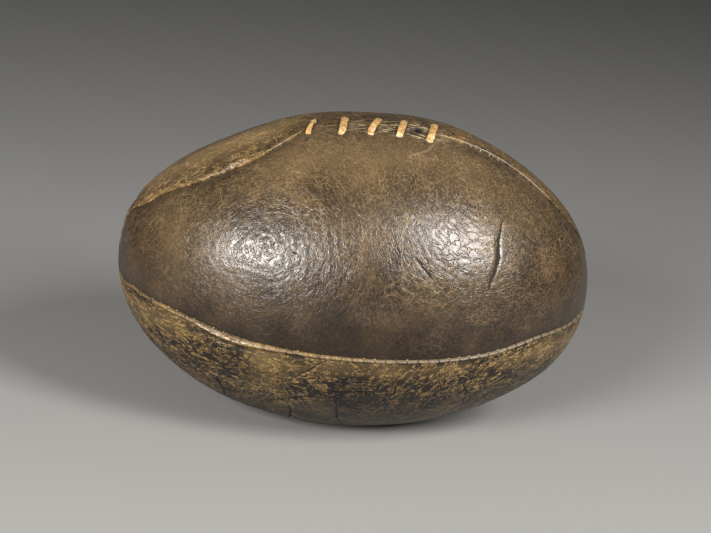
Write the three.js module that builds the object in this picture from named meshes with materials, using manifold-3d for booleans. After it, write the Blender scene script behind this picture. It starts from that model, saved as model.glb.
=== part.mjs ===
// A laced four-panel rugby ball of the old leather kind, at rest on a level surface. Millimetres, +Z up.
// The long axis lies along X, the front faces -Y, and the origin is on the surface under the middle.
// Four leather panels are sewn edge to edge around a rubber bladder. One seam is left open for a slit
// in the middle, where the bladder goes in, and a leather lace closes the slit over a tongue.
import * as THREE from 'three';
import { mergeVertices } from 'three/addons/utils/BufferGeometryUtils.js';
import Module from 'manifold-3d';

const wasm = await Module();
wasm.setup();

// ---- driving dimensions -------------------------------------------------------------------------

// casing
const ballLength = 288;
const ballDiameter = 191;
const restFlat = 2.5; // how far the soft underside settles into a flat where the ball rests
const leatherThickness = 2.3;
const tipRadius = 2.5; // the panels stop this far from the long axis at each tip

// seams: the angles turn about the long axis, from 0 at the front through 90 at the top
const lacedSeamAngle = 79;
const backSeamAngle = 167;
const underSeamAngle = -103;
const frontSeamAngle = -15;
const seamGap = 1.4; // groove between two panels, which holds the thread
const seamAllowance = 3; // how far a turned-in panel edge stands in past the leather
const turnedEdge = 2.2; // thickness of that edge
const threadHalf = 0.36; // half the thickness of the thread, which is drawn square
const threadDepth = 3.4;
const leftSag = { angle: -20.7, from: -38, reach: 27, ease: 1.35 }; // left of the slit the laced seam sags forward
const rightSag = { angle: -12, at: 122, reach: 32 }; // and a little near the right tip

// slit and lacing
const slitMiddle = -1;
const slitHalf = 43;
const laceCount = 5;
const lacePitch = 18.4;
const laceWidth = 4.8;
const laceThickness = 1.5;
const holeOffset = 9.5; // from the slit to the middle of a lace hole
const holeLean = 2.65; // the front hole of each pair lies this far left of the crossing, the back one right
const holeRadius = 3;
const laceSlack = 1.3; // room for the inner runs of the lace between the facings and the tongue
const facingGap = 0.8; // between the casing and the facings
const facingThickness = 1.3;
const facingWidth = 17;
const tongueThickness = 1.4;
const tongueWidth = 40;
const tongueOverlap = 10; // how far the tongue runs on past each end of the slit
const clearance = 0.3;

// bladder
const bladderWall = 0.5;
const bladderDepth = 3.3; // from the outside of the ball to the bladder, between the seams
const seamHollow = { depth: 6, reach: 12 }; // the bladder gives way under the turned-in edges
const slitHollow = { depth: 14, across: 34, along: 78 }; // and under the tongue and its own neck
const neckRadius = 2.5;
const neckBore = 1.5;
const neckRise = -34; // where the neck leaves the bladder
const neckEnd = 12;
const tieRadius = 0.5;

// fineness of the meshes
const panelColumns = 12;
const panelRows = 28;
const slitStartRow = 11; // the last row of stitching left of the slit, and the first right of it
const slitEndRow = 17;
const panelBorder = 19; // the columns lie closer together along the edges
const bladderTurns = 36;
const bladderRings = 18;

// ---- worked-out dimensions ----------------------------------------------------------------------

const halfLength = ballLength / 2;
const halfWidth = ballDiameter / 2;
const centreHeight = halfWidth - restFlat;
const facingDepth = leatherThickness + facingGap;
const laceInnerDepth = facingDepth + facingThickness + laceSlack + laceThickness / 2;
const laceOuterHeight = clearance + laceThickness / 2;
const tongueDepth = laceInnerDepth + laceThickness / 2 + laceSlack;
const tieRing = neckRadius + clearance + tieRadius;
const neckDepth = tongueDepth + tongueThickness + clearance + tieRing + tieRadius;

// ---- the ball's form ----------------------------------------------------------------------------

const radians = THREE.MathUtils.degToRad;

function bell(distance, reach) {
  return Math.exp(-((distance / reach) ** 2));
}

function radiusAt(x) {
  return halfWidth * Math.sqrt(Math.max(0, 1 - (x / halfLength) ** 2));
}

// A point of the ball at x along its axis and at an angle about it, `depth` in from its outer face.
function ballPoint(x, angle, depth) {
  const radius = radiusAt(x);
  const slope = new THREE.Vector2(x / halfLength ** 2, radius / halfWidth ** 2).normalize();
  const inner = radius - depth * slope.y;
  const height = centreHeight + inner * Math.sin(angle);
  return new THREE.Vector3(
    x - depth * slope.x,
    -inner * Math.cos(angle),
    Math.max(height, depth),
  );
}

// Each seam gives its angle at x. Only the laced one wanders.
const seams = {
  laced: (x) => radians(
    lacedSeamAngle
      + leftSag.angle * (1 - Math.exp(-((Math.max(0, leftSag.from - x) / leftSag.reach) ** leftSag.ease)))
      + rightSag.angle * bell(x - rightSag.at, rightSag.reach),
  ),
  back: () => radians(backSeamAngle),
  under: () => radians(underSeamAngle),
  front: () => radians(frontSeamAngle),
};

// A point near the laced seam: `across` is measured from the seam over the surface, up and backwards.
function slitPoint(x, across, depth) {
  return ballPoint(x, seams.laced(x) + across / radiusAt(x), depth);
}

// ---- making geometry ----------------------------------------------------------------------------

function plain(geometry) {
  geometry.deleteAttribute('normal');
  geometry.deleteAttribute('uv');
  return mergeVertices(geometry);
}

// A box of unit size, cut into columns (x) and rows (z), with every corner moved by `place`.
function bentBox(columns, rows, place) {
  const geometry = new THREE.BoxGeometry(1, 1, 1, columns, 1, rows);
  const corners = geometry.getAttribute('position');
  for (let i = 0; i < corners.count; i += 1) {
    const column = Math.round((corners.getX(i) + 0.5) * columns);
    const row = (corners.getZ(i) + 0.5) * rows;
    const outside = corners.getY(i) > 0;
    const spot = place(column, row, outside);
    corners.setXYZ(i, spot.x, spot.y, spot.z);
  }
  return plain(geometry);
}

function toSolid(geometry) {
  return new wasm.Manifold(new wasm.Mesh({
    numProp: 3,
    vertProperties: new Float32Array(geometry.getAttribute('position').array),
    triVerts: new Uint32Array(geometry.getIndex().array),
  }));
}

function toGeometry(solid) {
  const mesh = solid.getMesh();
  const geometry = new THREE.BufferGeometry();
  geometry.setAttribute('position', new THREE.BufferAttribute(mesh.vertProperties, 3));
  geometry.setIndex(new THREE.BufferAttribute(mesh.triVerts, 1));
  return geometry;
}

function circle(radius, sides) {
  const shape = new THREE.Shape();
  for (let side = 0; side < sides; side += 1) {
    const turn = (side / sides) * 2 * Math.PI;
    if (side === 0) {
      shape.moveTo(radius, 0);
    } else {
      shape.lineTo(radius * Math.cos(turn), radius * Math.sin(turn));
    }
  }
  return shape;
}

function tube(points, radius, sides, steps) {
  const extrudePath = new THREE.CatmullRomCurve3(points, false, 'centripetal');
  return plain(new THREE.ExtrudeGeometry(circle(radius, sides), { steps, bevelEnabled: false, extrudePath }));
}

// ---- leather panels -----------------------------------------------------------------------------

const tipTurn = Math.asin(tipRadius / halfWidth);

// The rows of every panel stand at the same places along the axis.
function rowAt(row) {
  const turn = tipTurn + (row / panelRows) * (Math.PI - 2 * tipTurn);
  return -halfLength * Math.cos(turn);
}

function nearSlit(x) {
  return Math.abs(x - slitMiddle) < slitHalf + 8;
}

// One gore of the casing. Its long edges turn in along the seams, but lie flat at the slit.
function panelGeometry(lowerSeam, upperSeam) {
  return bentBox(panelColumns, panelRows, (column, row, outside) => {
    const x = rowAt(row);
    const radius = radiusAt(x);
    const start = lowerSeam(x) + seamGap / 2 / radius;
    const end = upperSeam(x) - seamGap / 2 / radius;
    const width = ((end - start + 2 * Math.PI) % (2 * Math.PI)) * radius;
    const edge = Math.min(turnedEdge, 0.3 * width);
    const border = Math.min(panelBorder, 0.4 * width);
    const fromEdge = Math.min(column, panelColumns - column);
    const inset = [0, edge, edge * 1.3, border][Math.min(fromEdge, 3)];
    const middle = border + ((column - 3) / (panelColumns - 6)) * (width - border * 2);
    const lowerHalf = column < panelColumns / 2;
    const borderSide = lowerHalf ? inset : width - inset;
    const across = fromEdge > 3 ? middle : borderSide;
    const seam = lowerHalf ? lowerSeam : upperSeam;
    const turnedIn = fromEdge < 2 && !(seam === seams.laced && nearSlit(x));
    const depth = outside ? 0 : leatherThickness + (turnedIn ? seamAllowance : 0);
    return ballPoint(x, start + across / radius, depth);
  });
}

// ---- lace holes ---------------------------------------------------------------------------------

const laceRows = Array.from(
  { length: laceCount },
  (_, index) => slitMiddle + (index - (laceCount - 1) / 2) * lacePitch,
);

function holePunch(crossing, side) {
  const x = crossing + side * holeLean;
  const outer = slitPoint(x, side * holeOffset, 0);
  const inner = slitPoint(x, side * holeOffset, facingDepth + facingThickness);
  const axis = outer.clone().sub(inner).normalize();
  const punch = new THREE.CylinderGeometry(holeRadius, holeRadius, 3 * (leatherThickness + facingThickness), 14);
  punch.applyQuaternion(new THREE.Quaternion().setFromUnitVectors(new THREE.Vector3(0, 1, 0), axis));
  punch.translate((outer.x + inner.x) / 2, (outer.y + inner.y) / 2, (outer.z + inner.z) / 2);
  return toSolid(plain(punch));
}

function punched(geometry, side) {
  let solid = toSolid(geometry);
  for (const x of laceRows) {
    solid = solid.subtract(holePunch(x, side));
  }
  return toGeometry(solid);
}

// ---- slit facings, tongue and lace --------------------------------------------------------------

// A strip of leather under each edge of the slit, which the lace holes also pass through.
function facingGeometry(side) {
  const columns = 3;
  const rows = 9;
  const inner = seamGap / 2 + clearance;
  return bentBox(columns, rows, (column, row, outside) => {
    const step = side > 0 ? column : columns - column;
    const across = side * (inner + (step / columns) * facingWidth);
    const x = slitMiddle + (2 * (row / rows) - 1) * (slitHalf - 1);
    return slitPoint(x, across, facingDepth + (outside ? 0 : facingThickness));
  });
}

// The flap that lies between the lace and the bladder.
function tongueGeometry() {
  const columns = 6;
  const rows = 10;
  return bentBox(columns, rows, (column, row, outside) => {
    const across = (column / columns - 0.5) * tongueWidth;
    const x = slitMiddle + (2 * (row / rows) - 1) * (slitHalf + tongueOverlap);
    return slitPoint(x, across, tongueDepth + (outside ? 0 : tongueThickness));
  });
}

// The lace comes up at the front of the slit, crosses it, goes down at the back, and runs inside to the
// next pair of holes. Its two tails are tucked away inside.
function lacePath() {
  const first = laceRows[0] - holeLean;
  const points = [slitPoint(first - 3, 3, laceInnerDepth), slitPoint(first - 2.5, -1, laceInnerDepth)];
  for (const crossing of laceRows) {
    const front = crossing - holeLean;
    const back = crossing + holeLean;
    if (crossing > laceRows[0]) {
      points.push(slitPoint(crossing - lacePitch / 2, 0, laceInnerDepth));
    }
    points.push(slitPoint(front - 1.5, 1.5 - holeOffset, laceInnerDepth));
    points.push(slitPoint(front, -holeOffset, facingDepth + facingThickness));
    points.push(slitPoint(front, -holeOffset, 1));
    points.push(slitPoint(front + 0.4, 1.6 - holeOffset, -laceOuterHeight));
    points.push(slitPoint(crossing, 0, -laceOuterHeight - 0.1));
    points.push(slitPoint(back - 0.4, holeOffset - 1.6, -laceOuterHeight));
    points.push(slitPoint(back, holeOffset, 1));
    points.push(slitPoint(back, holeOffset, facingDepth + facingThickness));
    points.push(slitPoint(back + 1.5, holeOffset - 1.5, laceInnerDepth));
  }
  const last = laceRows[laceCount - 1] + holeLean;
  points.push(slitPoint(last + 2.5, 1, laceInnerDepth));
  points.push(slitPoint(last + 3, -3, laceInnerDepth));
  return new THREE.CatmullRomCurve3(points, false, 'centripetal');
}

function laceGeometry() {
  const steps = 104;
  const path = lacePath();
  const spots = path.getSpacedPoints(steps);
  const longAxis = new THREE.Vector3(1, 0, 0);
  return bentBox(1, steps, (column, row, outside) => {
    const step = Math.round(row);
    const along = path.getTangentAt(step / steps);
    const wide = longAxis.clone().addScaledVector(along, -longAxis.dot(along)).normalize();
    const thick = along.clone().cross(wide);
    return spots[step].clone()
      .addScaledVector(wide, (column - 0.5) * laceWidth)
      .addScaledVector(thick, (outside ? 0.5 : -0.5) * laceThickness);
  });
}

// ---- stitching ----------------------------------------------------------------------------------

// The waxed thread that joins two turned-in edges, from one row of the panels to another.
function threadGeometry(seam, firstRow, lastRow) {
  return bentBox(1, lastRow - firstRow, (column, row, outside) => {
    const x = rowAt(firstRow + row);
    const across = column === 0 ? -threadHalf : threadHalf;
    const depth = threadDepth + (outside ? -threadHalf : threadHalf);
    return ballPoint(x, seam(x) + across / radiusAt(x), depth);
  });
}

// ---- bladder ------------------------------------------------------------------------------------

function bladderDepthAt(x, angle) {
  const radius = radiusAt(x);
  const distances = Object.values(seams).map((seam) => {
    const turn = angle - seam(x);
    return radius * Math.abs(Math.atan2(Math.sin(turn), Math.cos(turn)));
  });
  const nearest = Math.min(...distances);
  const fromSlit = distances[0];
  return bladderDepth
    + seamHollow.depth * bell(nearest, seamHollow.reach)
    + slitHollow.depth * bell(fromSlit, slitHollow.across) * bell(x - slitMiddle, slitHollow.along);
}

function balloon(extraDepth) {
  const geometry = new THREE.SphereGeometry(1, bladderTurns, bladderRings);
  geometry.rotateZ(-Math.PI / 2);
  const corners = geometry.getAttribute('position');
  for (let i = 0; i < corners.count; i += 1) {
    const x = halfLength * THREE.MathUtils.clamp(corners.getX(i), -1, 1);
    const angle = Math.atan2(corners.getZ(i), -corners.getY(i));
    const spot = ballPoint(x, angle, bladderDepthAt(x, angle) + extraDepth);
    corners.setXYZ(i, spot.x, spot.y, spot.z);
  }
  return toSolid(plain(geometry));
}

// The neck rises under the slit and is folded along it, below the tongue.
function neck(radius, startDepth, end) {
  return toSolid(tube([
    slitPoint(neckRise, 0, startDepth),
    slitPoint(neckRise, 0, neckDepth + 5),
    slitPoint(neckRise + 2.5, 0, neckDepth + 1.5),
    slitPoint(neckRise + 7, 0, neckDepth),
    slitPoint((neckRise + end) / 2, 0, neckDepth),
    slitPoint(end, 0, neckDepth),
  ], radius, 10, 14));
}

function bladderGeometry() {
  const outside = balloon(0).add(neck(neckRadius, neckDepth + 10, neckEnd));
  const inside = balloon(bladderWall).add(neck(neckBore, neckDepth + 14, neckEnd + 3));
  return toGeometry(outside.subtract(inside));
}

// A turn of string that shuts the neck.
function tieGeometry() {
  const at = neckEnd - 6;
  const middle = slitPoint(at, 0, neckDepth);
  const along = slitPoint(at + 1, 0, neckDepth).sub(slitPoint(at - 1, 0, neckDepth)).normalize();
  const ring = new THREE.TorusGeometry(tieRing, tieRadius, 6, 16);
  ring.applyQuaternion(new THREE.Quaternion().setFromUnitVectors(new THREE.Vector3(0, 0, 1), along));
  ring.translate(middle.x, middle.y, middle.z);
  return plain(ring);
}

// ---- materials ----------------------------------------------------------------------------------

const brownLeather = { color: '#79644b', roughness: 0.55, metalness: 0 };
const tanLeather = { color: '#8a6d45', roughness: 0.62, metalness: 0 };
const innerLeather = { color: '#a5835a', roughness: 0.8, metalness: 0 };
const laceLeather = { color: '#d9a766', roughness: 0.6, metalness: 0 };
const waxedThread = { color: '#b9aa8e', roughness: 0.8, metalness: 0 };
const redRubber = { color: '#8b4a36', roughness: 0.6, metalness: 0 };

const ball = new THREE.Group();

function place(name, geometry, finish) {
  const piece = new THREE.Mesh(geometry, new THREE.MeshStandardMaterial(finish));
  piece.name = name;
  ball.add(piece);
}

// ---- the pieces ---------------------------------------------------------------------------------

place('front_panel', punched(panelGeometry(seams.front, seams.laced), -1), brownLeather);
place('top_panel', punched(panelGeometry(seams.laced, seams.back), 1), brownLeather);
place('back_panel', panelGeometry(seams.back, seams.under), brownLeather);
place('bottom_panel', panelGeometry(seams.under, seams.front), tanLeather);
place('front_seam_thread', threadGeometry(seams.front, 0, panelRows), waxedThread);
place('under_seam_thread', threadGeometry(seams.under, 0, panelRows), waxedThread);
place('back_seam_thread', threadGeometry(seams.back, 0, panelRows), waxedThread);
place('laced_seam_thread_left', threadGeometry(seams.laced, 0, slitStartRow), waxedThread);
place('laced_seam_thread_right', threadGeometry(seams.laced, slitEndRow, panelRows), waxedThread);
place('slit_facing_front', punched(facingGeometry(-1), -1), innerLeather);
place('slit_facing_back', punched(facingGeometry(1), 1), innerLeather);
place('lace', laceGeometry(), laceLeather);
place('tongue', tongueGeometry(), innerLeather);
place('bladder', bladderGeometry(), redRubber);
place('bladder_neck_tie', tieGeometry(), waxedThread);

export default ball;
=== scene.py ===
import math

import bmesh
import bpy
import numpy as np
from mathutils import Matrix, Vector


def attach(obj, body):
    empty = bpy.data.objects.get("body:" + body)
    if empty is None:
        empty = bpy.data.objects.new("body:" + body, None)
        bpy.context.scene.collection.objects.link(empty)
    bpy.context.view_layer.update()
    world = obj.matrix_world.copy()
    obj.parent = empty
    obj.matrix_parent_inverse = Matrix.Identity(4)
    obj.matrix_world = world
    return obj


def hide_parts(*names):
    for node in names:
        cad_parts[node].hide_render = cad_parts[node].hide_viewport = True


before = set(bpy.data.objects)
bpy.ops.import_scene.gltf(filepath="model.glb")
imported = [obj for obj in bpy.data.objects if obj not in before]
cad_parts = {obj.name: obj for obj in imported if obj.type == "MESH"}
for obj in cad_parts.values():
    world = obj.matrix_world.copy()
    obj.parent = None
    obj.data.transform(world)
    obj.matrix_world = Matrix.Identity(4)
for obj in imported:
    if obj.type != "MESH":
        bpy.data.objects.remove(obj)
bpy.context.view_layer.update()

bpy.ops.object.select_all(action="DESELECT")

# ---- Leather panels ----------------------------------------------------------------------------
# Four gores of thick hide, sewn edge to edge with the edges turned in. Each is cut flat, its border
# is drawn down and under, and it is then worked over the ball's form, with its creases and wear.

# The form is that of a laced ball, lying level on its soft underside. Its long axis is X and its front
# faces -Y. Sizes are millimetres, and angles are degrees about the long axis, from the front through
# the top.

MM = 0.001
half_length = 144.0
half_width = 95.5
rest_flat = 2.5
centre_height = half_width - rest_flat


def bell(distance, reach):
    """1 at no distance, falling to nothing past the reach."""
    return np.exp(-((distance / reach) ** 2))


def past(x, line, softness):
    """1 beyond a line and 0 before it. With a softness under nothing, it is the other way round."""
    return 1 / (1 + np.exp(-(x - line) / softness))


# Where each seam runs round the ball, as an angle at every x. The laced one sweeps up to the slit.


def laced_seam(x):
    left = np.clip(-38 - x, 0, None) / 27
    sweep = 79 - 20.7 * (1 - np.exp(-(left**1.35))) - 12 * bell(x - 122, 32)
    return sweep + 6 * bell(x + 126, 14) + 43 * bell(x + 144, 8)


def back_seam(x):
    return 167 + 0 * x


def under_seam(x):
    return -103 + 0 * x


def front_seam(x):
    return -15 + 3.5 * bell(x - 105, 25) + 2.5 * bell(x + 108, 20) - 34 * bell(x + 146, 6)


def radius_at(x):
    return half_width * np.sqrt(np.clip(1 - (x / half_length) ** 2, 0, 1))


# Where long use has sunk the ball: (depth, x, reach, angle, reach). It stands full where the depth is
# less than nothing, and nothing settles at the tips, where its radius is small.
settling = (
    (3.0, -85, 35, 105, 30),
    (-2.0, 45, 35, 105, 35),
    (-2.0, 122, 22, -50, 45),
    (-2.0, -137, 12, 85, 45),
)
settled_radius = 25.0


def on_ball(x, angle, depth):
    """Points in metres, `depth` millimetres in from the ball's outer form, never under the floor."""
    radius = radius_at(x)
    lean = x / half_length**2
    rise = radius / half_width**2
    length = np.sqrt(lean**2 + rise**2)
    off_tip = np.clip(radius / settled_radius, 0, 1)
    under = depth
    for sunk, sunk_x, reach, sunk_angle, turn in settling:
        away = (angle - sunk_angle + 180) % 360 - 180
        under = under + sunk * bell(x - sunk_x, reach) * bell(away, turn) * off_tip
    inner = radius - under * rise / length
    turned = np.radians(angle)
    height = np.maximum(centre_height + inner * np.sin(turned), np.maximum(depth, 0))
    return np.stack([x - under * lean / length, -inner * np.cos(turned), height], axis=-1) * MM


def across_seam(seam, x, across, depth):
    """The same, `across` millimetres over the surface from a seam."""
    return on_ball(x, seam(x) + np.degrees(across / radius_at(x)), depth)


# The way from tip to tip over the surface, measured once, so that stitches are spaced by length.
turns = np.linspace(0, math.pi, 721)
turn_steps = np.hypot(half_length * np.sin(turns), half_width * np.cos(turns)) * (turns[1] - turns[0])
turn_lengths = np.cumsum(turn_steps) - turn_steps[0]


def length_along(x):
    """How far x is from the left tip, over the surface."""
    turn = np.arccos(np.clip(-x / half_length, -1, 1))
    return np.interp(turn, turns, turn_lengths)


def x_at_length(length):
    """The x that is so far from the left tip, over the surface."""
    return -half_length * np.cos(np.interp(length, turn_lengths, turns))


def unevenness(points, size, seed):
    """A smooth random field from -1 to 1, with swellings about `size` across."""
    table = np.random.default_rng(seed).uniform(-1, 1, (32, 32, 32))
    scaled = np.asarray(points, dtype=float) / size + 7.3
    cell = np.floor(scaled).astype(int)
    part = scaled - cell
    part = part * part * (3 - 2 * part)
    total = np.zeros(len(scaled))
    for corner in np.ndindex(2, 2, 2):
        spot = (cell + corner) % 32
        share = np.prod(np.where(np.array(corner) == 1, part, 1 - part), axis=1)
        total += share * table[spot[:, 0], spot[:, 1], spot[:, 2]]
    return total


leather = 2.3
turned_in = 2.6
groove_half = 0.12
stitch_pitch = 6.3
tip_turn = 0.012
slit_middle = -1.0
slit_half = 43.0
gape_at = 25.0
lace_crossings = (-38.3, -19.2, -1.0, 15.2, 33.4)
hole_offset = 9.5
hole_lean = 2.65
hole_depth = 1.3
hole_reach = 2.2
dirt_and_shade_reach = 12
far_off = 60
swirl_radius = 80


def cut_panel(name, along, across):
    """Flat leather from -1 to 1 both ways. The face is at 0, and the turned-in back is at -1."""
    bpy.ops.mesh.primitive_grid_add(x_subdivisions=along, y_subdivisions=across, size=2)
    panel = bpy.context.active_object
    panel.name = name
    panel.data.name = name
    bpy.ops.object.mode_set(mode="EDIT")
    bpy.ops.mesh.select_mode(type="EDGE")
    bpy.ops.mesh.select_all(action="DESELECT")
    bpy.ops.mesh.select_non_manifold(
        extend=False,
        use_wire=False,
        use_boundary=True,
        use_multi_face=False,
        use_non_contiguous=False,
        use_verts=False,
    )
    bpy.ops.mesh.extrude_edges_move(TRANSFORM_OT_translate={"value": (0, 0, -1)})
    for shrink in (0.985, 0.97, 0.92, 0.75, 0.6, 0.4, 0.2):
        bpy.ops.mesh.extrude_edges_move(TRANSFORM_OT_translate={"value": (0, 0, 0)})
        bpy.ops.transform.resize(value=(shrink, shrink, 1), center_override=(0, 0, -1))
    bpy.ops.mesh.edge_face_add()
    bpy.ops.object.mode_set(mode="OBJECT")
    bpy.ops.object.select_all(action="DESELECT")
    return panel


def corners_of(piece):
    flat = np.empty(len(piece.data.vertices) * 3)
    piece.data.vertices.foreach_get("co", flat)
    return flat.reshape(-1, 3)


def set_corners(piece, spots):
    piece.data.vertices.foreach_set("co", np.ascontiguousarray(spots, dtype=np.float32).ravel())
    piece.data.update()


def paint(piece, name, amount):
    """Keeps a 0 to 1 amount at every vertex, for the leather's colour to follow."""
    layer = piece.data.attributes.new(name, "FLOAT", "POINT")
    layer.data.foreach_set("value", np.clip(amount, 0, 1).astype(np.float32))


def chart(piece, name, spots):
    """Keeps a place at every vertex, for the leather's grain to follow."""
    layer = piece.data.attributes.new(name, "FLOAT_VECTOR", "POINT")
    layer.data.foreach_set("vector", np.ascontiguousarray(spots, dtype=np.float32).ravel())


def near_slit(x, softness=3.0):
    """1 along the slit, 0 away from it."""
    return past(np.abs(x - slit_middle), slit_half, -softness)


def slit_gape(x):
    """How far each lip of the slit stands back: it yawns between the last two crossings of the lace."""
    return 2.6 * bell(x - gape_at, 3.2) + 0.3 * bell(x + 10, 5) + 0.25 * bell(x - 8, 3)


class Lay:
    """Where every point of a cut panel lies on the ball."""

    def __init__(self, panel, lower, upper):
        flat = corners_of(panel)
        turn = tip_turn + (flat[:, 0] + 1) / 2 * (math.pi - 2 * tip_turn)
        self.x = -half_length * np.cos(turn)
        self.face = flat[:, 2] > -0.5
        radius = radius_at(self.x)
        gap = np.minimum(groove_half, 0.1 * radius)
        slit_gap = gap * (1 - 0.8 * near_slit(self.x)) + slit_gape(self.x)
        lower_gap = slit_gap if lower is laced_seam else gap
        upper_gap = slit_gap if upper is laced_seam else gap
        start = np.radians(lower(self.x)) + lower_gap / radius
        end = np.radians(upper(self.x)) - upper_gap / radius
        self.width = ((end - start) % (2 * math.pi)) * radius
        share = (flat[:, 1] + 1) / 2
        share = share - 0.55 * np.sin(2 * math.pi * share) / (2 * math.pi)
        self.from_lower = self.width * share
        self.from_upper = self.width - self.from_lower
        self.angle = np.degrees(start + self.from_lower / radius)
        self.along = length_along(self.x)
        self.spots = on_ball(self.x, self.angle, 0 * self.x) / MM

    def swirl(self, x, angle, stretch):
        """Places in a round grain about (x, angle). Marks are `stretch` times longer round it than out."""
        step = self.x - x
        side = np.radians(self.angle - angle) * swirl_radius
        out = np.hypot(step, side)
        turn = np.arctan2(side, step)
        ring = out / (1 + (stretch - 1) * (1 - np.exp(-out / 20)))
        return np.stack([out, ring * np.cos(turn), ring * np.sin(turn)], axis=1) * MM

    def patch(self, x, reach, angle, turn):
        """1 at (x, angle), falling to nothing round it."""
        return bell(self.x - x, reach) * bell(self.angle - angle, turn)

    def near_line(self, points):
        """Signed millimetres from each point to a drawn line of (x, angle) points, and how far along it."""
        drawn = np.array(points, dtype=float)
        line = on_ball(drawn[:, 0], drawn[:, 1], 0.0) / MM
        best = np.full(len(self.x), 1e9)
        signed = np.full(len(self.x), 1e9)
        share = np.zeros(len(self.x))
        out = self.spots - np.array((0, 0, centre_height))
        pieces = len(line) - 1
        for i in range(pieces):
            step = line[i + 1] - line[i]
            from_start = self.spots - line[i]
            part = np.clip(from_start @ step / (step @ step), 0, 1)
            gap = np.linalg.norm(from_start - part[:, None] * step, axis=1)
            side = np.sign(np.sum(np.cross(step, from_start) * out, axis=1))
            closer = gap < best
            best = np.where(closer, gap, best)
            signed = np.where(closer, gap * side, signed)
            share = np.where(closer, (i + part) / pieces, share)
        return signed, share


def edge_form(lay, distance, laced, fall, reach, pinch, round_size, bead, bead_at):
    """Depth near one long edge: a slow fall to the seam, a bead along it, the rounded edge itself, and a
    pinch at each stitch."""
    slit = near_slit(lay.x) if laced else 0 * lay.x
    fullness = np.clip(lay.width / 70, 0, 1)
    round_over = np.minimum(round_size, 0.25 * lay.width) * (1 - 0.7 * slit) * (0.35 + 0.65 * fullness)
    near = np.clip(1 - distance / round_over, 0, 1)
    rolled = round_over * (1 - np.sqrt(1 - near**2 * 0.98))
    slope = fall * fullness * np.exp(-distance / reach) * (1 - 0.8 * slit)
    crest = bell(distance - bead_at, 0.75 * bead_at) - 0.6 * bell(distance - 2.5 * bead_at, 0.7 * bead_at)
    ridge = bead * fullness * (1 - slit) * crest
    phase = (lay.along / stitch_pitch) % 1.0 - 0.5
    notch = bell(phase * stitch_pitch, 0.8) * bell(distance, 2.4)
    return rolled + slope - ridge + pinch * (1 - slit) * fullness * notch


def work_leather(panel, lay, depth, lower, upper, seed, lower_edge, upper_edge):
    """Lays the cut leather over the form. `depth` is its own relief. Each edge gives its fall to the
    seam, how far back the fall begins, how deep the stitches pinch it, how round it is, how high its
    bead stands and how far back the bead lies, in millimetres."""
    edge = edge_form(lay, lay.from_lower, lower is laced_seam, *lower_edge)
    edge = edge + edge_form(lay, lay.from_upper, upper is laced_seam, *upper_edge)
    nearest = np.minimum(lay.from_lower, lay.from_upper)
    swell = 0.45 * unevenness(lay.spots, 55, seed) + 0.22 * unevenness(lay.spots, 21, seed + 1)
    to_slit = lay.from_lower if lower is laced_seam else lay.from_upper
    slit = near_slit(lay.x) * (laced_seam in (lower, upper))
    side = hole_offset if lower is laced_seam else -hole_offset
    holes = 0 * lay.x
    for x in lace_crossings:
        away = np.hypot(lay.x - x - math.copysign(hole_lean, side), to_slit - hole_offset)
        holes = holes + slit * bell(away, hole_reach)
    gaping = slit * bell(to_slit, 1.6) * bell(lay.x - gape_at, 4)
    back = leather + (1 - 0.95 * slit * bell(to_slit, 9)) * turned_in * np.exp(-nearest / 1.6)
    face_depth = edge + depth + hole_depth * holes - swell * np.clip(nearest / 12, 0, 1)
    back_depth = np.minimum(edge, 1.5 * np.exp(-nearest / 7.5) + 2.1) * 0.8 + back
    set_corners(panel, on_ball(lay.x, lay.angle, np.where(lay.face, face_depth, back_depth)))
    # Painted shade round the lace holes and along the slit's gape.
    paint(panel, "hole_shade", holes + gaping)
    paint(panel, "frayed", slit * bell(to_slit - 4.5, 4.5) * bell(lay.x - 16, 30))
    # At the slit the edges count as far off, so that no seam dirt, painted seam shade or stitch marks are
    # drawn there.
    from_edges = [lay.along, lay.from_lower + far_off * slit, lay.from_upper + far_off * slit]
    chart(panel, "edges", np.stack(from_edges, axis=1))


def grain_round(panel, lay, left, right, stretch):
    """Sets the centres that the grain runs round in the ball's left and right halves."""
    chart(panel, "grain_left", lay.swirl(*left, stretch))
    chart(panel, "grain_right", lay.swirl(*right, stretch))
    paint(panel, "to_right", past(lay.x, 0, 8))


def fine_wrinkles(lay, size, seed, stretch=(1, 1, 1)):
    """A net of fine creases, 1 in each crease and 0 between them."""
    points = lay.spots / np.array(stretch)
    shifts = [unevenness(points, size * 1.7, seed + k) for k in range(3)]
    bent = points + 0.5 * size * np.stack(shifts, axis=1)
    return bell(np.abs(unevenness(bent, size, seed + 5)), 0.16)


def ripples_round(lay, centre, squash, pitch, wander, seed):
    """Waves from -1 to 1 in rings about a centre, pushed about so that they wander."""
    ring = np.hypot(lay.x - centre[0], (lay.angle - centre[1]) * squash)
    return np.sin(ring * 2 * math.pi / pitch + wander * unevenness(lay.spots, 8, seed))


def crack_open(panel, lay, lines):
    """Marks drawn cracks on the leather. Each line is (points, depth, half width). Returns their depth."""
    depth = np.zeros(len(lay.x))
    nearest = np.full(len(lay.x), 50.0)
    half_open = np.zeros(len(lay.x))
    for points, deep, half in lines:
        gap, share = lay.near_line(points)
        taper = np.sqrt(np.clip(4 * share * (1 - share), 0, 1))
        lips = bell(np.abs(gap) - 2.0 * half, 1.1 * half) * taper
        depth = depth + deep * (bell(gap, half + 0.2) * taper - 0.2 * lips)
        closer = np.abs(gap) < np.abs(nearest)
        nearest = np.where(closer, gap, nearest)
        half_open = np.where(closer, half * taper * (np.abs(gap) < 3.5), half_open)
    chart(panel, "crack", np.stack([nearest, half_open, 0 * nearest], axis=1))
    return depth


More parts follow.
